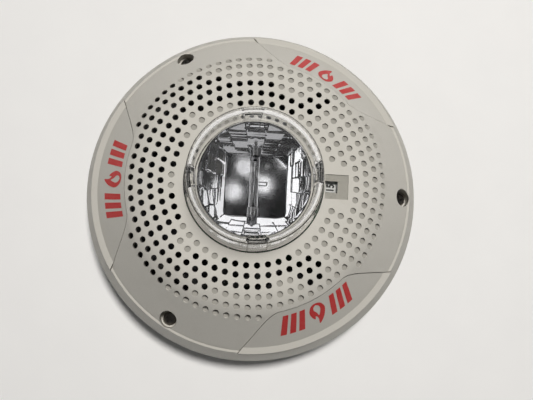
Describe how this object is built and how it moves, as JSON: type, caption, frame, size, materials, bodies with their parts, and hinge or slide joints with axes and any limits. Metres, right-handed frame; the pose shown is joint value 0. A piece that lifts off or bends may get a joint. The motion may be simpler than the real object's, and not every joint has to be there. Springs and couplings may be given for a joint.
{
  "type": "horn strobe",
  "caption": "Round ceiling fire-alarm sounder with perforated cover, clear strobe lens, light-setting window and plug-in mounting plate.",
  "frame": {"origin": "centre of the head's axis on the mounting surface, at the back face of the mounting plate", "axes": "+Z out of the mounting surface towards the strobe lens, +X through the window that shows the light setting, +Y completes a right-handed frame"},
  "size_m": [0.1728, 0.1728, 0.0874],
  "materials": {
    "cover_plastic": "fine-textured warm white",
    "panel_plastic": "fine-textured warm white, red printed marks",
    "clear_lens": "clear polycarbonate, polished",
    "seal_rubber": "matt foam rubber",
    "mirror_coat": "vacuum-metallised",
    "tube_glass": "clear borosilicate",
    "bright_steel": "bright zinc plate",
    "zinc_steel": "pressed, zinc plated",
    "core_steel": "laminated and varnished",
    "circuit_board": "solder mask over tracks",
    "chip_plastic": "moulded epoxy",
    "white_plastic": "smooth white",
    "dark_plastic": "lightly textured black",
    "plate_plastic": "satin off-white",
    "switch_plastic": "moulded blue",
    "contact_brass": "stamped, bright",
    "ferrite": "ground sintered ferrite",
    "coil_copper": "enamelled copper wire",
    "coil_tape": "polyester tape over a winding",
    "capacitor_sleeve": "shrink sleeve",
    "spider_cloth": "resin-dipped weave",
    "cone_paper": "pressed black paper pulp"
  },
  "bodies": {
    "plate": {"mounting_plate": "plate_plastic", "terminal_block": "dark_plastic", "terminal_clamps": "zinc_steel", "terminal_screws": "bright_steel", "contact_sockets": "contact_brass", "shorting_spring": "zinc_steel"},
    "head": {"front_cover": "cover_plastic", "marking_panels": "panel_plastic", "lens": "clear_lens", "lens_seal": "seal_rubber", "window_pane": "clear_lens", "reflector": "mirror_coat", "flash_tube": "tube_glass", "tube_electrodes": "bright_steel", "tube_posts": "bright_steel", "trigger_wire": "bright_steel", "strobe_board": "circuit_board", "board_screws": "bright_steel", "strobe_parts": "chip_plastic", "rear_housing": "dark_plastic", "housing_screws": "bright_steel", "driver_gasket": "seal_rubber", "driver_basket": "zinc_steel", "driver_screws": "bright_steel", "top_plate": "zinc_steel", "magnet": "ferrite", "pole_yoke": "zinc_steel", "spider": "spider_cloth", "surround": "seal_rubber", "driver_terminals": "contact_brass", "driver_leads": "coil_copper", "main_board": "circuit_board", "main_board_screws": "bright_steel", "main_capacitor": "capacitor_sleeve", "transformer_core": "core_steel", "transformer_coil": "coil_tape", "inductor": "ferrite", "main_board_parts": "chip_plastic", "tap_switch_body": "switch_plastic", "contact_pins": "contact_brass", "captive_screws": "bright_steel"},
    "setting": {"candela_slider": "white_plastic", "slider_wiper": "contact_brass"},
    "tap_rotor": {"tap_switch_rotor": "white_plastic"},
    "moving_coil": {"cone": "cone_paper", "dust_cap": "cone_paper", "voice_coil": "coil_copper"}
  },
  "joints": [
    {"name": "head_unplug", "type": "slide", "parent": "plate", "child": "head", "axis": [0, 0, 1], "range_m": [0, 0.06]},
    {"name": "candela_slide", "type": "slide", "parent": "head", "child": "setting", "axis": [0, -1, 0], "range_m": [0, 0.03]},
    {"name": "tap_turn", "type": "hinge", "parent": "head", "child": "tap_rotor", "pos_m": [0.042, 0.0335, 0], "axis": [0, 0, -1], "range_deg": [0, 315]},
    {"name": "cone_travel", "type": "slide", "parent": "head", "child": "moving_coil", "axis": [0, 0, 1], "range_m": [-0.0015, 0.0015], "stiffness_N_per_m": 1500, "deforming": ["surround", "spider", "driver_leads"]}
  ]
}
